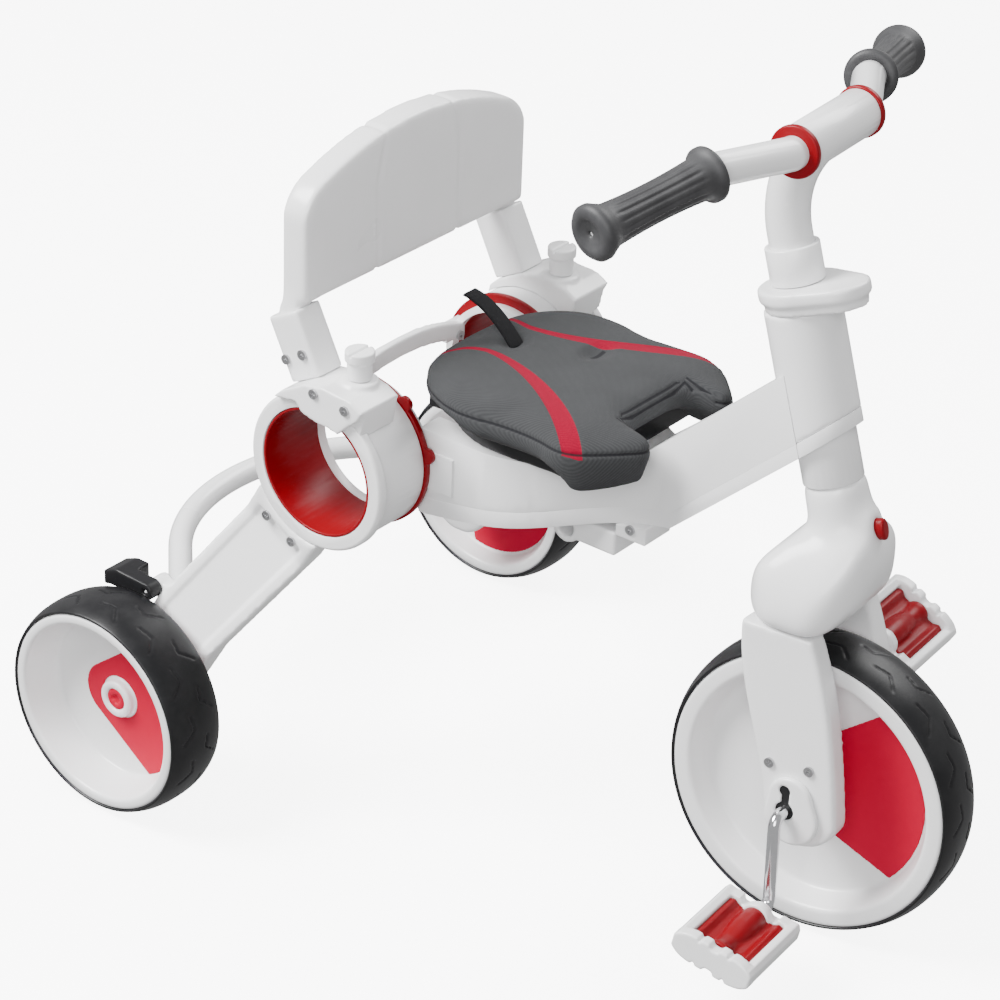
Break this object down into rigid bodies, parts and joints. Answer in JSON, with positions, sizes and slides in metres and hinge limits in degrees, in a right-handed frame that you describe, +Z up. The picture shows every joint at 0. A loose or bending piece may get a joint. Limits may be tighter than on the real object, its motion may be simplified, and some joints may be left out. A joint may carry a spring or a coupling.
{
  "type": "children's tricycle",
  "caption": "Children's tricycle with a folding rear frame, open round hubs, a padded seat with a fold-down backrest, and pedals on the front wheel.",
  "frame": {"origin": "centre of the footprint, on the ground", "axes": "+X points forward, +Y to the rider's left, +Z up"},
  "size_m": [0.6926, 0.512, 0.6185],
  "materials": {
    "white_plastic": "moulded, soft gloss",
    "red_plastic": "moulded, satin gloss",
    "wedge_red": "moulded, gloss",
    "black_plastic": "moulded, fine texture",
    "tyre": "foam rubber, matte",
    "grip_rubber": "ribbed, matte",
    "grey_fabric": "knitted, padded",
    "webbing": "woven strap",
    "chrome": "polished plating",
    "screw_steel": "zinc plated",
    "white_paint": "gloss enamel"
  },
  "bodies": {
    "frame": {"frame_upper_shell": "white_plastic", "frame_lower_shell": "white_plastic", "head_shell": "white_plastic", "head_tube": "white_paint", "head_bearings": "black_plastic", "head_flange_plate": "white_plastic", "crossbar": "white_plastic", "footrest_socket": "white_plastic", "footrest_block": "white_plastic", "seat_tray": "black_plastic", "seat_pad": "grey_fabric", "seat_strap": "webbing", "frame_screws": "screw_steel", "hub_core_right": "red_plastic", "hub_core_left": "red_plastic"},
    "rear_frame": {"hub_ring_right": "white_plastic", "hub_ring_left": "white_plastic", "ring_bezels": "white_plastic", "rear_leg_right": "white_plastic", "rear_leg_left": "white_plastic", "rear_hoop": "white_paint", "rear_axles": "screw_steel", "rear_screws": "screw_steel"},
    "rear_wheel_right": {"rear_tyre_right": "tyre", "rear_rim_right": "white_plastic", "rear_trim_right": "wedge_red"},
    "rear_wheel_left": {"rear_tyre_left": "tyre", "rear_rim_left": "white_plastic", "rear_trim_left": "wedge_red"},
    "brake_right": {"brake_lever_right": "black_plastic"},
    "brake_left": {"brake_lever_left": "black_plastic"},
    "backrest": {"clamp_right": "white_plastic", "clamp_left": "white_plastic", "backrest_brackets": "white_plastic", "backrest": "white_plastic", "backrest_screws": "screw_steel"},
    "knob_right": {"knob_right": "white_plastic"},
    "knob_left": {"knob_left": "white_plastic"},
    "steering": {"fork_crown": "white_plastic", "fork_leg_right": "white_plastic", "fork_leg_left": "white_plastic", "leg_covers": "white_plastic", "crank_bushings": "black_plastic", "fork_screws": "screw_steel", "stem": "white_paint", "stem_collar": "white_plastic", "bar_sleeve": "white_plastic", "sleeve_rings": "red_plastic", "handlebar": "white_paint", "grip_right": "grip_rubber", "grip_left": "grip_rubber"},
    "lock_button": {"lock_button": "red_plastic"},
    "front_wheel": {"front_tyre": "tyre", "front_rim": "white_plastic", "front_wedges": "wedge_red", "crank": "chrome"},
    "pedal_right": {"pedal_body_right": "red_plastic", "pedal_cage_right": "white_plastic"},
    "pedal_left": {"pedal_body_left": "red_plastic", "pedal_cage_left": "white_plastic"}
  },
  "joints": [
    {"name": "rear_fold", "type": "hinge", "parent": "frame", "child": "rear_frame", "pos_m": [-0.1306, 0, 0.2845], "axis": [0, 1, 0], "range_deg": [-90, 0]},
    {"name": "backrest_fold", "type": "hinge", "parent": "frame", "child": "backrest", "pos_m": [-0.1306, 0, 0.2845], "axis": [0, 1, 0], "range_deg": [0, 45]},
    {"name": "rear_wheel_right_spin", "type": "hinge", "parent": "rear_frame", "child": "rear_wheel_right", "pos_m": [-0.247, -0.2305, 0.086], "axis": [0, 1, 0], "continuous": true},
    {"name": "rear_wheel_left_spin", "type": "hinge", "parent": "rear_frame", "child": "rear_wheel_left", "pos_m": [-0.247, 0.2305, 0.086], "axis": [0, 1, 0], "continuous": true},
    {"name": "brake_right_press", "type": "hinge", "parent": "rear_frame", "child": "brake_right", "pos_m": [-0.242, -0.197, 0.1685], "axis": [0, 1, 0], "range_deg": [-6, 8]},
    {"name": "brake_left_press", "type": "hinge", "parent": "rear_frame", "child": "brake_left", "pos_m": [-0.242, 0.197, 0.1685], "axis": [0, 1, 0], "range_deg": [-6, 8]},
    {"name": "knob_right_turn", "type": "hinge", "parent": "backrest", "child": "knob_right", "pos_m": [-0.109, -0.117, 0.358], "axis": [0, 0, 1], "range_deg": [0, 360]},
    {"name": "knob_left_turn", "type": "hinge", "parent": "backrest", "child": "knob_left", "pos_m": [-0.109, 0.117, 0.358], "axis": [0, 0, 1], "range_deg": [-360, 0]},
    {"name": "steer", "type": "hinge", "parent": "frame", "child": "steering", "pos_m": [0.222, 0, 0.336], "axis": [-0.2904, 0, 0.9569], "range_deg": [-51, 39]},
    {"name": "lock_button_press", "type": "slide", "parent": "steering", "child": "lock_button", "axis": [-0.9517, -0.1045, -0.2888], "range_m": [0, 0.0025], "stiffness_N_per_m": 400, "springref_m": -0.002},
    {"name": "front_wheel_spin", "type": "hinge", "parent": "steering", "child": "front_wheel", "pos_m": [0.23228, -0.00573, 0.11439], "axis": [-0.1, 0.9945, -0.0304], "continuous": true},
    {"name": "pedal_right_spin", "type": "hinge", "parent": "front_wheel", "child": "pedal_right", "pos_m": [0.24906, -0.12616, 0.0502], "axis": [-0.1, 0.9945, -0.0304], "continuous": true},
    {"name": "pedal_left_spin", "type": "hinge", "parent": "front_wheel", "child": "pedal_left", "pos_m": [0.21551, 0.1147, 0.17857], "axis": [-0.1, 0.9945, -0.0304], "continuous": true}
  ]
}
